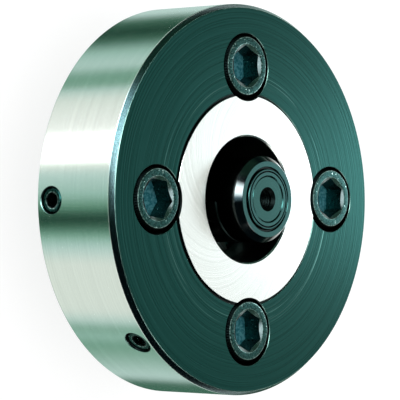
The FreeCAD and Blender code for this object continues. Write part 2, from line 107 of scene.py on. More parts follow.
def tones_by_azimuth(tree, screens, turn):
    """Ramp that gives the tone of the screens at an azimuth in whole turns."""
    ramp = add_node(tree, "ShaderNodeValToRGB", inputs={"Fac": turn})
    stops = ramp.color_ramp.elements
    for number, (azimuth, tone) in enumerate(screens):
        stop = stops[number] if number < 2 else stops.new(azimuth / 360)
        stop.position = azimuth / 360
        stop.color = TONES[tone]
    return ramp.outputs["Color"]


world = bpy.data.worlds.new("studio")
bpy.context.scene.world = world
world.use_nodes = True
world.cycles.sampling_method = "NONE"
tree = world.node_tree
tree.nodes.clear()
direction = add_node(tree, "ShaderNodeTexCoord").outputs["Generated"]
along = add_node(tree, "ShaderNodeSeparateXYZ", inputs={"Vector": direction}).outputs
angle = add_node(tree, "ShaderNodeMath", {"operation": "ARCTAN2"}, {0: along["Y"], 1: along["X"]}).outputs[0]
share = add_node(tree, "ShaderNodeMath", {"operation": "DIVIDE"}, {0: angle, 1: math.tau}).outputs[0]
turn = add_node(tree, "ShaderNodeMath", {"operation": "FRACT"}, {0: share}).outputs[0]
room = tones_by_azimuth(tree, LOW_SCREENS, turn)
# Each band of screens takes over from the one below it between two sines of the elevation.
for tones, first_sine, last_sine in (
    (tones_by_azimuth(tree, HIGH_SCREENS, turn), -0.25, -0.10),
    (tones_by_azimuth(tree, TOP_SCREENS, turn), 0.46, 0.50),
    (TONES["deep"], 0.74, 0.78),
    (TONES["overhead"], 0.93, 0.965),
):
    reached = add_node(tree, "ShaderNodeMapRange", {"interpolation_type": "SMOOTHSTEP"}, {
        "Value": along["Z"], "From Min": first_sine, "From Max": last_sine}).outputs[0]
    room = add_node(tree, "ShaderNodeMix", {"data_type": "RGBA"}, {
        "Factor": reached, 6: room, 7: tones}).outputs[2]
away = add_node(tree, "ShaderNodeMath", {"operation": "SUBTRACT"}, {0: along["Z"], 1: STRIP_SINE}).outputs[0]
away = add_node(tree, "ShaderNodeMath", {"operation": "ABSOLUTE"}, {0: away}).outputs[0]
at_strip = add_node(tree, "ShaderNodeMapRange", inputs={
    "Value": away, "From Min": 0.04, "From Max": 0.09, "To Min": 1.0, "To Max": 0.0}).outputs[0]
room = add_node(tree, "ShaderNodeMix", {"data_type": "RGBA"}, {
    "Factor": at_strip, 6: room, 7: TONES["strip"]}).outputs[2]
# Metal shows the screens, the camera sees plain white, and everything else is lit evenly.
ray = add_node(tree, "ShaderNodeLightPath").outputs
even = add_node(tree, "ShaderNodeBackground", inputs={"Color": (0.9, 0.9, 0.9, 1)}).outputs[0]
studio = add_node(tree, "ShaderNodeBackground", inputs={"Color": room}).outputs[0]
white = add_node(tree, "ShaderNodeBackground", inputs={"Color": (1, 1, 1, 1)}).outputs[0]
lit = add_node(tree, "ShaderNodeMixShader", inputs={0: ray["Is Glossy Ray"], 1: even, 2: studio}).outputs[0]
shown = add_node(tree, "ShaderNodeMixShader", inputs={0: ray["Is Camera Ray"], 1: lit, 2: white}).outputs[0]
add_node(tree, "ShaderNodeOutputWorld", inputs={"Surface": shown})

# A soft lamp behind the far edge, which the face and the seat ring show as their bright side.
LAMP_AIM = Vector((0, 0, 25)) * MM
LAMP_WAY = Vector((0.906, 0.035, 0.423)).normalized()
LAMP_DISTANCE = 480 * MM
LAMP_WIDTH = 140 * MM
LAMP_WATTS = 0.43
lamp = bpy.data.objects.new("lamp", bpy.data.lights.new("lamp", "AREA"))
lamp.data.shape = "DISK"
lamp.data.size = LAMP_WIDTH
lamp.data.energy = LAMP_WATTS
lamp.data.color = (0.80, 0.93, 1.0)
lamp.location = LAMP_AIM + LAMP_WAY * LAMP_DISTANCE
lamp.rotation_euler = LAMP_WAY.to_track_quat("Z", "Y").to_euler()
lamp.visible_camera = False
bpy.context.scene.collection.objects.link(lamp)

TABLE_HEIGHT = -37 * MM
TABLE_HALF = 3.0
table_mesh = bpy.data.meshes.new("table")
bm = bmesh.new()
bmesh.ops.create_grid(bm, x_segments=1, y_segments=1, size=TABLE_HALF)
bmesh.ops.translate(bm, verts=bm.verts, vec=(0, 0, TABLE_HEIGHT))
bm.to_mesh(table_mesh)
bm.free()
table = bpy.data.objects.new("table", table_mesh)
bpy.context.scene.collection.objects.link(table)
table.visible_glossy = False
paper = bpy.data.materials.new("white_paper")
paper.use_nodes = True
tree = paper.node_tree
tree.nodes.clear()
ray = add_node(tree, "ShaderNodeLightPath").outputs
matt = add_node(tree, "ShaderNodeBsdfDiffuse", inputs={"Color": (0.86, 0.86, 0.86, 1)})
glow = add_node(tree, "ShaderNodeEmission", inputs={"Color": (1, 1, 1, 1), "Strength": 1.2})
# What the camera sees of the paper is two thirds its own white, so that it keeps a soft shadow.
WHITE_SHARE = 0.68
to_camera = add_node(tree, "ShaderNodeMath", {"operation": "MULTIPLY"}, {
    0: ray["Is Camera Ray"], 1: WHITE_SHARE}).outputs[0]
sheet = add_node(tree, "ShaderNodeMixShader", inputs={0: to_camera, 1: matt.outputs[0], 2: glow.outputs[0]})
add_node(tree, "ShaderNodeOutputMaterial", inputs={"Surface": sheet.outputs[0]})
table_mesh.materials.append(paper)


# Flange body. One steel forging, turned all over, hardened, blackened and then ground on the rim, the seat
# ring, the taper and the faces that meet the spindle. Its holes are drilled and tapped.

RIM_RADIUS = 75.0
FACE_HEIGHT = 25.0
SEAT_HEIGHT = 25.5
REAR_HEIGHT = -14.0
HUB_END = -37.0
HUB_ROOT_GROOVE = -0.6
EJECTION_RADIUS = 6.0
REGISTER_RADIUS = 64.535
SEAT_RADIUS = 40.0
SEAT_GROOVE_RADIUS = 40.95
SEAT_GROOVE_FLOOR = 24.6
UNWORN_RADIUS = 40.8
TAPER_END = 4.5
RELIEF_RADIUS = 23.6
RELIEF_FLOOR = -7.2
CARTRIDGE_BORE_RADIUS = 20.0
CARTRIDGE_FLOOR = -22.0
BODY_STEPS = 384
GROUND_RIM, GROUND_SEAT, BLACK_FACE, GROUND_BORE_SHADE, BLACK_RECESS_SHADE, GROUND_BACK, BLACK_CHAMFER, WORN_AND_GLINT_EDGE = range(8)


def start_material(name, roughness, metallic=1.0):
    """New material, with its node tree, its shader and its Object coordinates."""
    material = bpy.data.materials.new(name)
    material.use_nodes = True
    tree = material.node_tree
    tree.nodes.clear()
    shader = add_node(tree, "ShaderNodeBsdfPrincipled", inputs={"Roughness": roughness, "Metallic": metallic})
    add_node(tree, "ShaderNodeOutputMaterial", inputs={"Surface": shader.outputs[0]})
    return material, tree, shader, add_node(tree, "ShaderNodeTexCoord").outputs["Object"]


def mix_colours(tree, factor, first, second):
    """Colour between two hex colours by a factor."""
    mix = add_node(tree, "ShaderNodeMix", {"data_type": "RGBA"}, {"Factor": factor})
    mix.inputs[6].default_value = linear(first)
    mix.inputs[7].default_value = linear(second)
    return mix.outputs[2]


def dress(tree, shader, pattern, colours, roughness=None, relief=None):
    """Colours a finish by a pattern, which may also vary its roughness and give relief as (strength, mm)."""
    colour = mix_colours(tree, pattern, *colours)
    tree.links.new(colour, shader.inputs["Base Color"])
    if roughness:
        varied = add_node(tree, "ShaderNodeMapRange", inputs={
            "Value": pattern, "To Min": roughness[0], "To Max": roughness[1]})
        tree.links.new(varied.outputs[0], shader.inputs["Roughness"])
    if relief:
        pressed = add_node(tree, "ShaderNodeBump", inputs={
            "Height": pattern, "Strength": relief[0], "Distance": relief[1] * MM})
        tree.links.new(pressed.outputs[0], shader.inputs["Normal"])
    return colour


def mottled(tree, place, count, detail, contrast=(0, 1)):
    """Noise with this many blotches to a millimetre, stretched between two of its values."""
    noise = add_node(tree, "ShaderNodeTexNoise", inputs={
        "Vector": place, "Scale": count / MM, "Detail": detail}).outputs[0]
    return add_node(tree, "ShaderNodeMapRange", inputs={
        "Value": noise, "From Min": contrast[0], "From Max": contrast[1]}).outputs[0]


def turned_bmesh(bands, steps, closed=False):
    """Bmesh turned about Z. Bands are (radius, height, finish): each runs on to the next one's corner."""
    bm = bmesh.new()
    mark = bm.edges.layers.int.new("finish")
    corners = [bm.verts.new((radius * MM, 0, height * MM)) for radius, height, _ in bands]
    pairs = list(zip(corners, corners[1:] + (corners[:1] if closed else [])))
    edges = [bm.edges.new(pair) for pair in pairs]
    for edge, (_, _, finish) in zip(edges, bands):
        edge[mark] = finish + 1
    bmesh.ops.spin(bm, geom=corners + edges, cent=(0, 0, 0), axis=(0, 0, 1), angle=math.tau, steps=steps,
                   use_merge=True)
    for face in bm.faces:
        face.material_index = max(edge[mark] for edge in face.edges) - 1
    bmesh.ops.remove_doubles(bm, verts=bm.verts, dist=1e-7)
    bmesh.ops.recalc_face_normals(bm, faces=bm.faces)
    return bm


def to_object(name, bm, materials):
    """Object with this bmesh as its mesh, shaded smooth between its sharp edges."""
    mesh = bpy.data.meshes.new(name)
    bm.to_mesh(mesh)
    bm.free()
    for material in materials:
        mesh.materials.append(material)
    mesh.shade_smooth()
    mesh.set_sharp_from_angle(angle=math.radians(28))
    piece = bpy.data.objects.new(name, mesh)
    bpy.context.scene.collection.objects.link(piece)
    return piece


def cut_away(piece, cutters):
    """Cuts each bmesh out of a piece, keeping the finishes of both."""
    tools = []
    for bm in cutters:
        tool = to_object("cutter", bm, [])
        for slot in piece.data.materials:
            tool.data.materials.append(slot)
        tools.append(tool)
        cut = piece.modifiers.new("cut", "BOOLEAN")
        cut.object = tool
        cut.operation = "DIFFERENCE"
        cut.solver = "EXACT"
    graph = bpy.context.evaluated_depsgraph_get()
    result = bpy.data.meshes.new_from_object(piece.evaluated_get(graph))
    piece.modifiers.clear()
    piece.data = result
    result.name = piece.name
    result.shade_smooth()
    result.set_sharp_from_angle(angle=math.radians(28))
    for tool in tools:
        bpy.data.objects.remove(tool)


def copies(bm, matrices):
    """One bmesh that holds a copy of this one for each matrix."""
    mesh = bpy.data.meshes.new("copies")
    bm.to_mesh(mesh)
    bm.free()
    whole = bmesh.new()
    for matrix in matrices:
        done = set(whole.verts)
        whole.from_mesh(mesh)
        bmesh.ops.transform(whole, matrix=matrix, verts=[v for v in whole.verts if v not in done])
    bpy.data.meshes.remove(mesh)
    return whole


def about_axis(angle):
    """Turn about Z by an angle in degrees."""
    return Matrix.Rotation(math.radians(angle), 4, "Z")


def shift(x, y, z):
    """Shift given in millimetres."""
    return Matrix.Translation(Vector((x, y, z)) * MM)


def outwards(angle, height):
    """Lays an upright shape down, so that its +Z points away from the axis at an angle and height."""
    return shift(0, 0, height) @ about_axis(angle) @ Matrix.Rotation(math.radians(90), 4, "Y")


def taper_radius(height):
    """Radius of the tapered bore: 48 mm across at the gauge line, 6.3 mm below the seat, 1 in 9.98."""
    return (48.0 + (height - (SEAT_HEIGHT - 6.3)) / 9.98) / 2


def press_thread(bm, radius, pitch, depth, low, high):
    """Presses a helical thread into the turned wall of this radius; a negative depth goes outwards."""
    for vert in bm.verts:
        x, y, z = vert.co / MM
        if abs(math.hypot(x, y) - radius) > 0.01 or not low <= z <= high:
            continue
        phase = (z / pitch - math.atan2(y, x) / math.tau) % 1.0
        flank = min(max(1.25 * (1 - abs(2 * phase - 1)) - 0.125, 0.0), 1.0)
        run_out = min((z - low) / pitch, (high - z) / pitch, 1.0)
        share = 1 - depth * flank * run_out / radius
        vert.co.x *= share
        vert.co.y *= share


def wall(radius, low, high, pitch, finish):
    """Bands of a wall that is to take a thread, eight to each turn of it, from low up to high."""
    rows = max(round((high - low) / pitch * 8), 1)
    return [(radius, low + (high - low) * row / rows, finish) for row in range(rows)]


def hexagon(across_flats, low, high, finish=0):
    """Upright hexagonal prism with a corner towards +Y."""
    bm = bmesh.new()
    bmesh.ops.create_cone(bm, cap_ends=True, segments=6, radius1=across_flats / math.sqrt(3) * MM,
                          radius2=across_flats / math.sqrt(3) * MM, depth=(high - low) * MM)
    bmesh.ops.translate(bm, verts=bm.verts, vec=(0, 0, (low + high) / 2 * MM))
    for face in bm.faces:
        face.material_index = finish
    return bm


def settle(piece, matrix, node, body):
    """Puts a finished piece in its place, in place of its CAD node, with its flat faces shaded flat."""
    piece.data.transform(matrix)
    even = piece.modifiers.new("flat_faces", "WEIGHTED_NORMAL")
    even.keep_sharp = True
    even.weight = 100
    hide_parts(node)
    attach(piece, body)


def hub_radius(height):
    """Radius of the tapered hub: 67 mm across at the spindle face."""
    return (67.0 + height * 7 / 24) / 2


blank = turned_bmesh([
    (EJECTION_RADIUS + 0.3, HUB_END, GROUND_BACK), (hub_radius(HUB_END) - 1.5, HUB_END, GROUND_BACK),
    (hub_radius(HUB_END + 1.5), HUB_END + 1.5, GROUND_BACK),
    (hub_radius(HUB_ROOT_GROOVE), HUB_ROOT_GROOVE, BLACK_RECESS_SHADE),
    (hub_radius(HUB_ROOT_GROOVE) - 0.3, HUB_ROOT_GROOVE / 2, BLACK_RECESS_SHADE), (hub_radius(0), 0, GROUND_BACK),
    (REGISTER_RADIUS, 0, GROUND_BACK), (REGISTER_RADIUS, REAR_HEIGHT + 0.8, GROUND_BACK),
    (REGISTER_RADIUS + 0.8, REAR_HEIGHT, GROUND_BACK), (RIM_RADIUS - 1.0, REAR_HEIGHT, GROUND_RIM),
    (RIM_RADIUS - 0.15, REAR_HEIGHT + 0.85, GROUND_RIM), (RIM_RADIUS, REAR_HEIGHT + 1.2, GROUND_RIM),
    (RIM_RADIUS, FACE_HEIGHT - 2.4, GROUND_RIM), (RIM_RADIUS - 0.12, FACE_HEIGHT - 2.02, BLACK_CHAMFER),
    # The edges of the face carry a light band: partly wear, partly a painted highlight.
    (RIM_RADIUS - 1.38, FACE_HEIGHT - 0.2, WORN_AND_GLINT_EDGE), (RIM_RADIUS - 1.65, FACE_HEIGHT, BLACK_FACE),
    (SEAT_GROOVE_RADIUS + 0.2, FACE_HEIGHT, WORN_AND_GLINT_EDGE), (SEAT_GROOVE_RADIUS, FACE_HEIGHT - 0.2, BLACK_RECESS_SHADE),
    (SEAT_GROOVE_RADIUS, SEAT_GROOVE_FLOOR, BLACK_RECESS_SHADE), (SEAT_RADIUS, SEAT_GROOVE_FLOOR, BLACK_RECESS_SHADE),
    (SEAT_RADIUS, SEAT_HEIGHT - 0.12, GROUND_SEAT), (SEAT_RADIUS - 0.12, SEAT_HEIGHT, GROUND_SEAT),
    (taper_radius(SEAT_HEIGHT) + 0.5, SEAT_HEIGHT, GROUND_SEAT),
    (taper_radius(SEAT_HEIGHT - 0.5), SEAT_HEIGHT - 0.5, GROUND_BORE_SHADE),
    (taper_radius(TAPER_END), TAPER_END, BLACK_RECESS_SHADE), (RELIEF_RADIUS, TAPER_END - 1.1, BLACK_RECESS_SHADE),
    (RELIEF_RADIUS, RELIEF_FLOOR, BLACK_RECESS_SHADE), (CARTRIDGE_BORE_RADIUS, RELIEF_FLOOR, GROUND_BORE_SHADE),
    (CARTRIDGE_BORE_RADIUS, CARTRIDGE_FLOOR, BLACK_RECESS_SHADE),
    (EJECTION_RADIUS + 0.3, CARTRIDGE_FLOOR, BLACK_RECESS_SHADE),
    (EJECTION_RADIUS, CARTRIDGE_FLOOR - 0.3, BLACK_RECESS_SHADE),
    (EJECTION_RADIUS, HUB_END + 0.3, BLACK_RECESS_SHADE),
], BODY_STEPS, closed=True)

# Counterbored holes for the four cap screws, with a light band at their edges: partly wear, partly a painted
# highlight.
CAP_FLOOR = 9.5
cap_hole = turned_bmesh([
    (0, -2, BLACK_RECESS_SHADE), (8.75, -2, BLACK_RECESS_SHADE), (8.75, CAP_FLOOR, BLACK_RECESS_SHADE), (13.0, CAP_FLOOR, BLACK_RECESS_SHADE),
    (13.0, FACE_HEIGHT - 0.16, WORN_AND_GLINT_EDGE), (13.18, FACE_HEIGHT + 0.02, BLACK_RECESS_SHADE),
    (13.18, SEAT_HEIGHT + 1.2, BLACK_RECESS_SHADE), (0, SEAT_HEIGHT + 1.2, BLACK_RECESS_SHADE),
], 128)
BOLT_CIRCLE_RADIUS = 50.8
CAP_ANGLES = (90, 0, 270, 180)
cap_holes = copies(cap_hole, [about_axis(angle) @ shift(BOLT_CIRCLE_RADIUS, 0, 0) for angle in CAP_ANGLES])

# Tapped holes in the rim, each with a light band round its countersink: partly wear, partly a painted
# highlight.
RIM_HOLE_RADIUS = 5.06
RIM_HOLE_START = 62
RIM_HOLE_MOUTH = [
    (RIM_HOLE_RADIUS, RIM_RADIUS - 0.5, BLACK_RECESS_SHADE), (5.3, RIM_RADIUS - 0.26, WORN_AND_GLINT_EDGE),
    (6.76, RIM_RADIUS + 1.2, BLACK_RECESS_SHADE), (0, RIM_RADIUS + 1.2, BLACK_RECESS_SHADE),
]
rim_hole = turned_bmesh([(0, RIM_HOLE_START, BLACK_RECESS_SHADE), (RIM_HOLE_RADIUS, RIM_HOLE_START, BLACK_RECESS_SHADE)]
                        + RIM_HOLE_MOUTH, 64)
ALIGNMENT_ANGLES = (180, 270, 0, 90)
ALIGNMENT_HEIGHT = -6.2
rim_holes = copies(rim_hole, [outwards(angle, ALIGNMENT_HEIGHT) for angle in ALIGNMENT_ANGLES])

# The access hole has an M10 thread behind its countersink, pitch 1.5 mm, and a plain drilling to the bore.
ACCESS_ANGLE = 225
CLAMP_HEIGHT = 16.7
SET_PITCH = 1.5
access_hole = turned_bmesh(
    [(0, 12, BLACK_RECESS_SHADE), (3.75, 12, BLACK_RECESS_SHADE), (3.75, 60, BLACK_RECESS_SHADE)]
    + wall(RIM_HOLE_RADIUS, 60, RIM_RADIUS - 0.5, SET_PITCH, BLACK_RECESS_SHADE) + RIM_HOLE_MOUTH, 64)
press_thread(access_hole, RIM_HOLE_RADIUS, SET_PITCH, 0.55, 70, RIM_RADIUS - 0.5)
bmesh.ops.transform(access_hole, matrix=outwards(ACCESS_ANGLE, CLAMP_HEIGHT), verts=access_hole.verts)


def box(x_low, x_high, y_low, y_high, z_low, z_high, finish=0):
    """Upright box between two corners in millimetres."""
    bm = bmesh.new()
    size = Vector((x_high - x_low, y_high - y_low, z_high - z_low)) * MM
    middle = Vector((x_high + x_low, y_high + y_low, z_high + z_low)) / 2 * MM
    bmesh.ops.create_cube(bm, size=1, matrix=Matrix.Translation(middle) @ Matrix.Diagonal(size).to_4x4())
    for face in bm.faces:
        face.material_index = finish
    return bm


# Keyways for the keys of the spindle nose, and pockets in the bore for the two driving keys.
KEY_ANGLES = (135, 315)
KEYWAY_WIDTH = 25.8
KEYWAY_DEPTH = 13
POCKET_WIDTH = 12.5
POCKET_TOP = 2.85
keyway = box(36, 63, -KEYWAY_WIDTH / 2, KEYWAY_WIDTH / 2, -2, KEYWAY_DEPTH, GROUND_BACK)
keyways = copies(keyway, [about_axis(angle) for angle in KEY_ANGLES])
pocket = box(17.35, 27.45, -POCKET_WIDTH / 2, POCKET_WIDTH / 2, RELIEF_FLOOR, POCKET_TOP, BLACK_RECESS_SHADE)
pockets = copies(pocket, [about_axis(angle) for angle in KEY_ANGLES])
base_screw_hole = turned_bmesh([
    (0, -39, BLACK_RECESS_SHADE), (4.75, -39, BLACK_RECESS_SHADE), (4.75, -31, BLACK_RECESS_SHADE), (2.75, -31, BLACK_RECESS_SHADE),
    (2.75, -20, BLACK_RECESS_SHADE), (0, -20, BLACK_RECESS_SHADE),
], 48)
BASE_SCREW_CIRCLE_RADIUS = 13.5
BASE_SCREW_PLACES = [about_axis(angle) @ shift(BASE_SCREW_CIRCLE_RADIUS, 0, 0) for angle in (0, 90, 180, 270)]
base_screw_holes = copies(base_screw_hole, BASE_SCREW_PLACES)

# Cylindrical grinding leaves fine lines round the rim, so it spreads reflections along the axis. The lines of
# the wheel, some 0.05 mm apart, are drawn about 0.7 mm apart so that they show.
ground_rim, tree, shader, place = start_material("ground_steel_rim", 0.15)
shader.inputs["Anisotropic"].default_value = 0.8
shader.inputs["Anisotropic Rotation"].default_value = 0.25
radial_tangent = add_node(tree, "ShaderNodeTangent", {"direction_type": "RADIAL", "axis": "Z"}).outputs[0]
tree.links.new(radial_tangent, shader.inputs["Tangent"])
stretch = add_node(tree, "ShaderNodeMapping", inputs={"Vector": place, "Scale": (12, 12, 1400)}).outputs[0]
lines = add_node(tree, "ShaderNodeTexNoise", inputs={
    "Vector": stretch, "Scale": 1, "Detail": 4, "Roughness": 0.6}).outputs[0]
dress(tree, shader, lines, ("#dadfdb", "#f2f5f2"), roughness=(0.13, 0.17), relief=(0.05, 0.1))


def radius_of(tree, place):
    """Distance from the Z axis, in metres."""
    flat = add_node(tree, "ShaderNodeVectorMath", {"operation": "MULTIPLY"}, {0: place, 1: (1, 1, 0)})
    length = add_node(tree, "ShaderNodeVectorMath", {"operation": "LENGTH"}, {0: flat.outputs[0]})
    return length.outputs["Value"]


def turning_marks(tree, place, spacing, contrast=(0, 1)):
    """Noise drawn out into rings about the Z axis, this many millimetres apart, stretched as mottled is."""
    across = add_node(tree, "ShaderNodeMath", {"operation": "DIVIDE"}, {
        0: radius_of(tree, place), 1: spacing * MM}).outputs[0]
    axes = add_node(tree, "ShaderNodeSeparateXYZ", inputs={"Vector": place}).outputs
    ringed = add_node(tree, "ShaderNodeCombineXYZ", inputs={"X": across, "Y": axes["X"], "Z": axes["Y"]})
    drawn = add_node(tree, "ShaderNodeMapping", inputs={"Vector": ringed.outputs[0], "Scale": (1, 14, 14)})
    noise = add_node(tree, "ShaderNodeTexNoise", inputs={"Vector": drawn.outputs[0], "Scale": 1, "Detail": 3})
    return add_node(tree, "ShaderNodeMapRange", inputs={
        "Value": noise.outputs[0], "From Min": contrast[0], "From Max": contrast[1]}).outputs[0]


# A cup wheel leaves arched marks across the ground seat ring: noise drawn out along arcs that lean over as
# they run outwards. The marks are 0.6 mm apart, coarser than the wheel's grit, so that they show.
ground_seat, tree, shader, place = start_material("ground_steel_seat", 0.24)
lean = add_node(tree, "ShaderNodeMath", {"operation": "MULTIPLY"}, {0: radius_of(tree, place), 1: 42.0})
leaning = add_node(tree, "ShaderNodeVectorRotate", {"rotation_type": "Z_AXIS"}, {
    "Vector": place, "Angle": lean.outputs[0]}).outputs[0]
upright = add_node(tree, "ShaderNodeVectorMath", {"operation": "MULTIPLY"}, {0: leaning, 1: (1, 1, 0)})
spoke = add_node(tree, "ShaderNodeVectorMath", {"operation": "NORMALIZE"}, {0: upright.outputs[0]}).outputs[0]
arches = add_node(tree, "ShaderNodeTexNoise", inputs={"Vector": spoke, "Scale": 55, "Detail": 3}).outputs[0]
dress(tree, shader, arches, ("#cbd0cd", "#fafbfa"), roughness=(0.20, 0.28), relief=(0.10, 0.2))

# The chamfer has the rough black oxide of the forging's last turning cut, speckled where it catches the
# light. The grain of the oxide, some 0.02 mm, is drawn 0.4 mm wide, and coarser still on other skins.
black_chamfer, tree, shader, place = start_material("black_oxide_chamfer", 0.16)
grain = mottled(tree, place, 2.4, 2, contrast=(0.35, 0.65))
dress(tree, shader, grain, ("#384a4c", "#5c6e70"), relief=(0.2, 0.08))
# The edges get a light band, partly worn through to the steel in fine lines and partly a painted highlight
# where rounded edges catch the light, more in one place than in another.
worn_and_glint_edge, tree, shader, place = start_material("worn_steel_edge_painted_glint", 0.35)
dress(tree, shader, mottled(tree, place, 0.3, 3), ("#4d756e", "#9fbdb6"))

# Black oxide on turned steel: a thin dark skin that keeps the turning marks and their sheen. The marks of the
# tool, 0.1 mm apart, are drawn 0.7 mm apart so that they show.
black_face, tree, shader, place = start_material("black_oxide_turned", 0.28)
marks = turning_marks(tree, place, 0.7, contrast=(0.3, 0.7))
skin = dress(tree, shader, marks, ("#063530", "#0e3e39"), roughness=(0.25, 0.32), relief=(0.12, 0.2))
# Swarf has rubbed fine bright arcs into the skin beside the seat ring.
RUBBED_RADIUS = 46.8
arcs = turning_marks(tree, place, 0.55, contrast=(0.60, 0.72))
away = add_node(tree, "ShaderNodeMath", {"operation": "SUBTRACT"}, {
    0: radius_of(tree, place), 1: RUBBED_RADIUS * MM}).outputs[0]
away = add_node(tree, "ShaderNodeMath", {"operation": "ABSOLUTE"}, {0: away}).outputs[0]
near = add_node(tree, "ShaderNodeMapRange", inputs={
    "Value": away, "From Min": 1.0 * MM, "From Max": 3.5 * MM, "To Min": 0.8, "To Max": 0.0}).outputs[0]
scribed = add_node(tree, "ShaderNodeMath", {"operation": "MULTIPLY"}, {0: arcs, 1: near}).outputs[0]
rubbed_skin = add_node(tree, "ShaderNodeMix", {"data_type": "RGBA"}, {
    "Factor": scribed, 6: skin, 7: linear("#6f9c95")}).outputs[2]
tree.links.new(rubbed_skin, shader.inputs["Base Color"])

# The taper is ground like the seat, but its colour is painted darker as shade, as it lies deep in the bore;
# the holes and grooves keep the rough skin that the drill leaves, painted darker still as the shade inside
# them;
# and the faces behind the rim are ground to sit on the spindle.
ground_bore_shade, tree, shader, place = start_material("ground_steel_taper_painted_shade", 0.28)
dress(tree, shader, turning_marks(tree, place, 0.9), ("#4c5553", "#66706d"))
black_recess_shade, tree, shader, place = start_material("black_oxide_drilled_painted_shade", 0.42)
dress(tree, shader, mottled(tree, place, 0.9, 3), ("#0b1010", "#1a2221"), relief=(0.15, 0.2))
ground_back, tree, shader, place = start_material("ground_steel_back", 0.30)
dress(tree, shader, turning_marks(tree, place, 0.8), ("#c3cac5", "#dde2de"), relief=(0.06, 0.2))

flange = to_object("flange_blank", blank, [
    ground_rim, ground_seat, black_face, ground_bore_shade, black_recess_shade, ground_back, black_chamfer, worn_and_glint_edge])
cut_away(flange, [cap_holes, rim_holes, access_hole, keyways, pockets, base_screw_holes])
# The counterbores have no light edge band, worn or painted highlight, where they break into the seat ring.
for face in flange.data.polygons:
    if face.material_index == WORN_AND_GLINT_EDGE and math.hypot(face.center.x, face.center.y) < UNWORN_RADIUS * MM:
        face.material_index = BLACK_RECESS_SHADE
settle(flange, Matrix.Identity(4), "flange_body", "flange")


# Cap screws. Four M16 socket head cap screws, forged from alloy steel, with knurled heads and a rolled
# thread, hardened and blackened. They bolt the flange to the spindle nose.

CAP_STEPS = 144
# Their oxide has light nicks where keys and other parts have struck it.
black_screw, tree, shader, place = start_material("black_oxide_screw", 0.30)
grain = mottled(tree, place, 1.5, 3, contrast=(0.35, 0.65))
skin = dress(tree, shader, grain, ("#0c2a28", "#224a46"), roughness=(0.24, 0.38), relief=(0.25, 0.1))
nicks = mottled(tree, place, 1.15, 1, contrast=(0.70, 0.76))
nicked = add_node(tree, "ShaderNodeMix", {"data_type": "RGBA"}, {
    "Factor": nicks, 6: skin, 7: linear("#a9c6c0")}).outputs[2]
tree.links.new(nicked, shader.inputs["Base Color"])
# The edges of the head and of the socket are light, partly rubbed bright by handling and partly a painted
# highlight. The knurl's thick dull skin is painted near black as the shade in the gap round the head. The
# punch leaves the cone of the socket smooth, painted light as its glint, and its floor rough, painted bright
# teal as light falling into the socket.
rubbed_and_glint, tree, shader, place = start_material("rubbed_black_oxide_painted_glint", 0.30)
dress(tree, shader, mottled(tree, place, 1.5, 2, contrast=(0.35, 0.65)), ("#16322f", "#8aa8a2"))
socket_cone_glint, tree, shader, place = start_material("black_oxide_pressed_painted_glint", 0.22)
dress(tree, shader, mottled(tree, place, 0.7, 2), ("#4c5c5e", "#8b9b9c"))
socket_floor_lit, tree, shader, place = start_material("black_oxide_broached_painted_light", 0.6)
dress(tree, shader, mottled(tree, place, 0.9, 3, contrast=(0.4, 0.6)), ("#3c8794", "#74bcc8"))
painted_shade_oxide, tree, shader, place = start_material("black_oxide_painted_shade", 0.45)
dress(tree, shader, mottled(tree, place, 1.5, 2), ("#060a0a", "#121a1a"))


def hex_socket(flats, mouth, depth, lead_in):
    """Cutters for a hexagon socket that opens upwards: cone with a rubbed, painted-glint edge, hexagon,
    drilled bottom.
    """
    corner = flats / math.sqrt(3) + lead_in
    slope = math.tan(math.radians(30))
    drop = (corner - flats / 2) * slope
    cone = turned_bmesh([(0, mouth - drop, 0), (flats / 2, mouth - drop, 3), (corner, mouth - 0.1, 1),
                         (corner + 0.25, mouth + 0.02, 0), (corner + 0.25, mouth + 1, 0),
                         (0, mouth + 1, 0)], 96)
    broach = hexagon(flats, mouth - depth, mouth + 1)
    min(broach.faces, key=lambda face: face.calc_center_median().z).material_index = 4
    tip = turned_bmesh([(0, mouth - depth - flats / 12, 4), (flats / 4, mouth - depth, 0),
                        (flats / 4, mouth - depth + 0.5, 0), (0, mouth - depth + 0.5, 0)], 48)
    return [cone, broach, tip]


def knurl(bm, radius, low, high, depth, steps):
    """Presses every second line of a turned wall inwards between two heights."""
    for vert in bm.verts:
        x, y, z = vert.co / MM
        line = round(math.atan2(y, x) / math.tau * steps)
        if line % 2 and abs(math.hypot(x, y) - radius) < 0.3 and low <= z <= high:
            vert.co.x *= 1 - depth / radius
            vert.co.y *= 1 - depth / radius


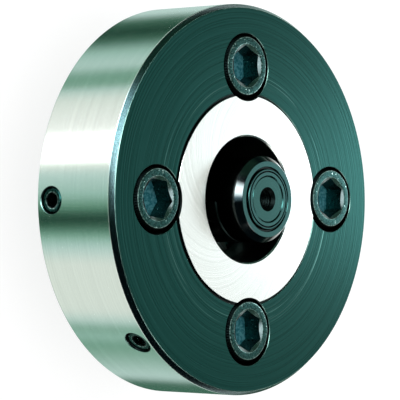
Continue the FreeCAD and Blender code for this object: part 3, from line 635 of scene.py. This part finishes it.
# How far each screw happened to stop turned when it was tightened, in degrees.
CAP_SOCKET_TURNS = (2, -3, 4, 22)
CAP_KEY = 14.0
CAP_SOCKET_DEPTH = 8.0
CAP_RADIUS = 12.0
CAP_HEIGHT = 16.0
CAP_NECK_RADIUS = 7.35
CAP_THREAD_RADIUS = 8.0
CAP_PITCH = 2.0
CAP_THREAD_START = -33.5
CAP_THREAD_END = -9.5
bm = turned_bmesh(
    [(0, CAP_THREAD_START - 1.5, 0), (CAP_THREAD_RADIUS - 1.5, CAP_THREAD_START - 1.5, 0)]
    + wall(CAP_THREAD_RADIUS, CAP_THREAD_START, CAP_THREAD_END, CAP_PITCH, 0)
    + [(CAP_THREAD_RADIUS, CAP_THREAD_END, 0), (CAP_NECK_RADIUS, CAP_THREAD_END + 0.65, 0),
       (CAP_NECK_RADIUS, -0.5, 0), (CAP_NECK_RADIUS + 0.5, 0, 0), (CAP_RADIUS - 0.5, 0, 0),
       (CAP_RADIUS - 0.02, 0.5, 0), (CAP_RADIUS - 0.02, 1.3, 0), (CAP_RADIUS, 1.4, 2),
       (CAP_RADIUS, CAP_HEIGHT - 1.3, 2), (CAP_RADIUS - 0.9, CAP_HEIGHT - 0.14, 1),
       (CAP_RADIUS - 1.2, CAP_HEIGHT, 0), (0, CAP_HEIGHT, 0)], CAP_STEPS)
press_thread(bm, CAP_THREAD_RADIUS, CAP_PITCH, 1.2, CAP_THREAD_START, CAP_THREAD_END)
knurl(bm, CAP_RADIUS, 1.35, CAP_HEIGHT - 0.55, 0.35, CAP_STEPS)
pattern = to_object("cap_screw_pattern", bm, [black_screw, rubbed_and_glint, painted_shade_oxide, socket_cone_glint, socket_floor_lit])
cut_away(pattern, hex_socket(CAP_KEY, CAP_HEIGHT, CAP_SOCKET_DEPTH, 0.25))


def copy_of(pattern, name):
    """New piece that has its own copy of a pattern's mesh."""
    piece = bpy.data.objects.new(name, pattern.data.copy())
    bpy.context.scene.collection.objects.link(piece)
    return piece


# The screws lie together 0.45 mm above the middle of their holes, as the clearance lets them.
for number, (angle, socket_turn) in enumerate(zip(CAP_ANGLES, CAP_SOCKET_TURNS), 1):
    screw = copy_of(pattern, "socket_screw_%d" % number)
    middle = shift(0, 0.45, CAP_FLOOR) @ about_axis(angle) @ shift(BOLT_CIRCLE_RADIUS, 0, 0)
    settle(screw, middle @ about_axis(socket_turn - angle), "cap_screw_%d" % number, "flange")
bpy.data.objects.remove(pattern)


# Rim screws. M10 set screws with a hexagon socket, cut from bar, hardened and blackened. Four of them, near
# the back of the rim, centre the flange on the spindle nose; a fifth closes the key access to the clamping
# screw.

SET_SOCKET_TURNS = (12, 40, 5, 25)
ACCESS_SOCKET_TURN = 8
SET_RADIUS = 5.0
SET_LENGTH = 10.0
SET_KEY = 5.0
SET_SOCKET_DEPTH = 5.0
SET_SINK = 0.465
ACCESS_SINK = 0.9
bm = turned_bmesh(
    [(0, -SET_LENGTH, 0), (SET_RADIUS - 0.8, -SET_LENGTH, 0)]
    + wall(SET_RADIUS, 0.8 - SET_LENGTH, -0.8, SET_PITCH, 0)
    + [(SET_RADIUS, -0.8, 0), (SET_RADIUS - 0.8, 0, 0), (0, 0, 0)], 72)
press_thread(bm, SET_RADIUS, SET_PITCH, 0.75, 0.8 - SET_LENGTH, -0.8)
# The set screws' socket cones and floors take the oxide painted near black as shade; their mouths take the
# painted glint.
pattern = to_object("set_screw_pattern", bm, [black_screw, rubbed_and_glint, painted_shade_oxide, painted_shade_oxide, painted_shade_oxide])
cut_away(pattern, hex_socket(SET_KEY, 0, SET_SOCKET_DEPTH, 0.15))
for number, (angle, socket_turn) in enumerate(zip(ALIGNMENT_ANGLES, SET_SOCKET_TURNS), 1):
    screw = copy_of(pattern, "rim_screw_%d" % number)
    end = outwards(angle, ALIGNMENT_HEIGHT) @ shift(0, 0, RIM_RADIUS - SET_SINK)
    settle(screw, end @ about_axis(socket_turn), "alignment_screw_%d" % number, "alignment_%d" % number)
screw = copy_of(pattern, "access_screw")
end = outwards(ACCESS_ANGLE, CLAMP_HEIGHT) @ shift(0, 0, RIM_RADIUS - ACCESS_SINK)
settle(screw, end @ about_axis(ACCESS_SOCKET_TURN), "access_plug", "flange")
bpy.data.objects.remove(pattern)


# Cartridge. Its body is turned from tool steel, milled through for the two jaws, hardened, polished and
# blackened. Four small cap screws hold it in the bore from the back of the hub.

NOSE_HEIGHT = 35.2
NOSE_RADIUS = 16.45
NOSE_BORE_RADIUS = 12.3
RING_SEAT = 33.4
RING_THICKNESS = 1.2
# Polished under its oxide, so that it mirrors the bore; the marks of facing its end, 0.1 mm apart, are drawn
# 0.35 mm apart.
black_polish, tree, shader, place = start_material("black_oxide_polished", 0.12)
dress(tree, shader, mottled(tree, place, 0.16, 4), ("#4b4f50", "#5c6061"), roughness=(0.08, 0.14))
nose_steel, tree, shader, place = start_material("black_oxide_faced", 0.26)
dress(tree, shader, turning_marks(tree, place, 0.35), ("#284b49", "#375b59"), relief=(0.15, 0.1))

bm = turned_bmesh([
    (0, CARTRIDGE_FLOOR, 0), (CARTRIDGE_BORE_RADIUS - 0.35, CARTRIDGE_FLOOR, 0),
    (CARTRIDGE_BORE_RADIUS - 0.05, CARTRIDGE_FLOOR + 0.3, 0), (CARTRIDGE_BORE_RADIUS - 0.05, -7.9, 0),
    (CARTRIDGE_BORE_RADIUS - 0.35, -7.6, 0), (NOSE_RADIUS, -7.6, 0), (NOSE_RADIUS, NOSE_HEIGHT - 2.4, 0),
    (14.6, NOSE_HEIGHT - 0.15, 0), (14.4, NOSE_HEIGHT, 1), (NOSE_BORE_RADIUS + 0.2, NOSE_HEIGHT, 1),
    (NOSE_BORE_RADIUS, NOSE_HEIGHT - 0.2, 0), (NOSE_BORE_RADIUS, RING_SEAT + RING_THICKNESS, 0),
    (13.2, RING_SEAT + RING_THICKNESS, 0), (13.2, RING_SEAT, 0), (NOSE_BORE_RADIUS, RING_SEAT, 0),
    (NOSE_BORE_RADIUS, 26, 0), (0, 26, 0),
], 192)
# The window for the jaws goes right through, along the clamping screw, with rounded corners.
WINDOW_WIDTH = 22.2
WINDOW_LOW = 4.0
WINDOW_HIGH = 24.0
window = box(-20, 20, -WINDOW_WIDTH / 2, WINDOW_WIDTH / 2, WINDOW_LOW, WINDOW_HIGH)
long_edges = [edge for edge in window.edges if edge.calc_length() > 30 * MM]
bmesh.ops.bevel(window, geom=long_edges, offset=1.0 * MM, segments=4, profile=0.5, affect="EDGES",
                material=-1)
bmesh.ops.transform(window, matrix=about_axis(ACCESS_ANGLE), verts=window.verts)
stem_way = turned_bmesh([(0, 23, 0), (5.1, 23, 0), (5.1, 27, 0), (0, 27, 0)], 64)
pin_way = turned_bmesh([(0, -6, 0), (1.6, -6, 0), (1.6, 5, 0), (0, 5, 0)], 32)
base_thread = turned_bmesh([(0, -23, 0), (2.55, -23, 0), (2.55, -13.5, 0), (0, -13.5, 0)], 32)
base_threads = copies(base_thread, BASE_SCREW_PLACES)
cartridge = to_object("cartridge", bm, [black_polish, nose_steel])
cut_away(cartridge, [window, stem_way, pin_way, base_threads])
settle(cartridge, Matrix.Identity(4), "cartridge_body", "flange")


# Ejector. A stepped disc with a seal round its collar and a wedge under it, turned and faced, that the jaws
# lift to push a tool off its taper. A plug with an M8 thread for a puller is pressed into its middle.

# The disc's grooves and hidden sides take an oxide painted near black, as the shade down in the grooves.
groove_shade_black, tree, shader, place = start_material("black_oxide_groove_painted_shade", 0.5)
dress(tree, shader, mottled(tree, place, 1.2, 2), ("#050707", "#0d1212"))
FACE_TOP = 35.6


def prism(points, low, high):
    """Prism with these (x, z) corners, running along Y from low to high."""
    bm = bmesh.new()
    ends = [[bm.verts.new(Vector((x, y, z)) * MM) for x, z in points] for y in (low, high)]
    bm.faces.new(ends[0])
    bm.faces.new(ends[1])
    for k in range(len(points)):
        bm.faces.new((ends[0][k - 1], ends[0][k], ends[1][k], ends[1][k - 1]))
    bmesh.ops.recalc_face_normals(bm, faces=bm.faces)
    return bm


PLUG_SEAT = 28.0
COLLAR_RADIUS = 12.2
SEAL_FLOOR_RADIUS = 10.65
SEAL_HEIGHT = 30.2
DISC_RADIUS = 11.45
STEM_END = 22.2
bm = turned_bmesh([
    (0, STEM_END, 1), (5.0, STEM_END, 1), (5.0, 27.0, 1), (COLLAR_RADIUS - 0.3, 27.0, 1),
    (COLLAR_RADIUS, 27.3, 1), (COLLAR_RADIUS, SEAL_HEIGHT - 1, 1), (SEAL_FLOOR_RADIUS, SEAL_HEIGHT - 1, 1),
    (SEAL_FLOOR_RADIUS, SEAL_HEIGHT + 1, 1), (COLLAR_RADIUS, SEAL_HEIGHT + 1, 1), (COLLAR_RADIUS, 33.1, 1),
    (COLLAR_RADIUS - 0.2, 33.3, 1), (DISC_RADIUS, 33.3, 1), (DISC_RADIUS, FACE_TOP - 0.2, 0),
    (DISC_RADIUS - 0.2, FACE_TOP, 0), (10.88, FACE_TOP, 1), (10.78, FACE_TOP - 0.7, 1),
    (10.37, FACE_TOP - 0.7, 1), (10.25, FACE_TOP, 0), (9.1, FACE_TOP, 0), (8.72, FACE_TOP - 0.4, 1),
    (8.72, PLUG_SEAT, 1), (3.0, PLUG_SEAT, 1), (3.0, 25.0, 1), (0, 25.0, 1),
], 192)
# The jaws' travel lifts it by this much for each millimetre.
WEDGE_RISE = 0.8 / 1.5
wedge_side = prism([(0.5, STEM_END), (6, STEM_END + 5.5 * WEDGE_RISE), (6, 20), (0.5, 20)], -6, 6)
wedge_sides = copies(wedge_side, [about_axis(ACCESS_ANGLE), about_axis(ACCESS_ANGLE + 180)])
for face in wedge_sides.faces:
    face.material_index = 1
ejector = to_object("ejector_disc", bm, [nose_steel, groove_shade_black])
cut_away(ejector, [wedge_sides])
settle(ejector, Matrix.Identity(4), "ejector", "ejector")

plug_black, tree, shader, place = start_material("black_oxide_plug", 0.22)
dress(tree, shader, turning_marks(tree, place, 0.35), ("#294e4b", "#375d5a"), relief=(0.15, 0.1))
PLUG_CORE = 3.4
PLUG_PITCH = 1.25
PLUG_THREAD_START = 28.5
PLUG_THREAD_END = 34.05
PLUG_THREAD_ROWS = 36
plug_wall = [(PLUG_CORE, PLUG_THREAD_END - PLUG_PITCH / 8 * row, 1) for row in range(PLUG_THREAD_ROWS)]
bm = turned_bmesh(
    [(4.0, PLUG_SEAT, 0), (8.4, PLUG_SEAT, 0), (8.7, PLUG_SEAT + 0.3, 0), (8.7, 35.05, 0), (8.45, 35.3, 0),
     (4.65, 35.3, 1)] + plug_wall + [(PLUG_CORE, PLUG_THREAD_START, 1)], 128, closed=True)
press_thread(bm, PLUG_CORE, PLUG_PITCH, -0.55, PLUG_THREAD_START, PLUG_THREAD_END)
plug = to_object("ejector_centre", bm, [plug_black, black_recess_shade])
settle(plug, Matrix.Identity(4), "ejector_plug", "ejector")

# The seal is a moulded nitrile ring, matt and slightly dusty.
rubber, tree, shader, place = start_material("nitrile_rubber", 0.7, 0.0)
dress(tree, shader, mottled(tree, place, 0.7, 4), ("#0c0d0e", "#1c1e20"))
SEAL_RADIUS = 0.8
SEAL_STEPS = 24
turns = [math.tau * step / SEAL_STEPS for step in range(SEAL_STEPS)]
bm = turned_bmesh([(DISC_RADIUS + SEAL_RADIUS * math.cos(turn), SEAL_HEIGHT + SEAL_RADIUS * math.sin(turn), 0)
                   for turn in turns], 128, closed=True)
seal = to_object("seal_ring", bm, [rubber])
settle(seal, Matrix.Identity(4), "ejector_seal", "ejector")


# Retaining ring. A split ring of spring steel, ground flat, hardened and phosphated, which is sprung into the
# groove of the nose and keeps the ejector in.

phosphated, tree, shader, place = start_material("phosphated_spring_steel", 0.42)
dress(tree, shader, mottled(tree, place, 2.2, 3), ("#0d1413", "#1d2726"), relief=(0.2, 0.05))
RING_TOP = RING_SEAT + RING_THICKNESS
bm = turned_bmesh([
    (11.65, RING_SEAT + 0.1, 0), (11.75, RING_SEAT, 0), (13.0, RING_SEAT, 0), (13.1, RING_SEAT + 0.1, 0),
    (13.1, RING_TOP - 0.1, 0), (13.0, RING_TOP, 0), (11.75, RING_TOP, 0), (11.65, RING_TOP - 0.1, 0),
], 192, closed=True)
ring = to_object("snap_ring", bm, [phosphated])
RING_GAP_ANGLE = 315
gap = box(8, 16, -1.3, 1.3, 32, 36)
bmesh.ops.transform(gap, matrix=about_axis(RING_GAP_ANGLE), verts=gap.verts)
cut_away(ring, [gap])
settle(ring, Matrix.Identity(4), "retaining_ring", "flange")


# Clamping screw, jaws and locating pin. The screw has a right-hand and a left-hand thread, and draws the two
# hooked jaws apart or together. They are milled and turned from tool steel and hardened, and the screw is
# ground.


def from_cad(name, node, materials, edge=0.0, limit=40):
    """Merged copy of a CAD piece, with its edges above the limit angle rounded by this many millimetres."""
    bm = bmesh.new()
    bm.from_mesh(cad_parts[node].data)
    bmesh.ops.remove_doubles(bm, verts=bm.verts, dist=2e-6)
    bmesh.ops.dissolve_limit(bm, angle_limit=math.radians(1), verts=bm.verts, edges=bm.edges)
    bmesh.ops.recalc_face_normals(bm, faces=bm.faces)
    for face in bm.faces:
        face.material_index = 0
    piece = to_object(name, bm, materials)
    if edge:
        bevel = piece.modifiers.new("worn_edges", "BEVEL")
        bevel.width = edge * MM
        bevel.segments = 2
        bevel.limit_method = "ANGLE"
        bevel.angle_limit = math.radians(limit)
    return piece


tool_steel, tree, shader, place = start_material("ground_tool_steel", 0.30)
dress(tree, shader, turning_marks(tree, place, 0.5), ("#6b706f", "#8d9391"))
jaw_black, tree, shader, place = start_material("black_oxide_milled", 0.36)
dress(tree, shader, mottled(tree, place, 0.8, 4), ("#182020", "#2b3634"))

clamp_screw = from_cad("clamping_screw", "clamp_screw", [tool_steel])
settle(clamp_screw, Matrix.Identity(4), "clamp_screw", "clamp_screw")
for number in (1, 2):
    jaw = from_cad("jaw_%d" % number, "clamp_jaw_%d" % number, [jaw_black], 0.15)
    settle(jaw, Matrix.Identity(4), "clamp_jaw_%d" % number, "jaw_%d" % number)
pin = from_cad("centre_pin", "locating_pin", [tool_steel], 0.1)
settle(pin, Matrix.Identity(4), "locating_pin", "flange")


# Driving keys and small screws. Two keys of ground tool steel sit in pockets at the end of the taper, each
# held by an M4 cap screw; four M5 cap screws under the hub hold the cartridge.

for number in (1, 2):
    key = from_cad("driver_%d" % number, "drive_key_%d" % number, [tool_steel], 0.1)
    settle(key, Matrix.Identity(4), "drive_key_%d" % number, "flange")
    screw = from_cad("driver_screw_%d" % number, "key_screw_%d" % number, [black_screw], 0.05, 60)
    settle(screw, Matrix.Identity(4), "key_screw_%d" % number, "flange")
for number in (1, 2, 3, 4):
    screw = from_cad("base_screw_%d" % number, "cartridge_screw_%d" % number, [black_screw], 0.05, 60)
    settle(screw, Matrix.Identity(4), "cartridge_screw_%d" % number, "flange")
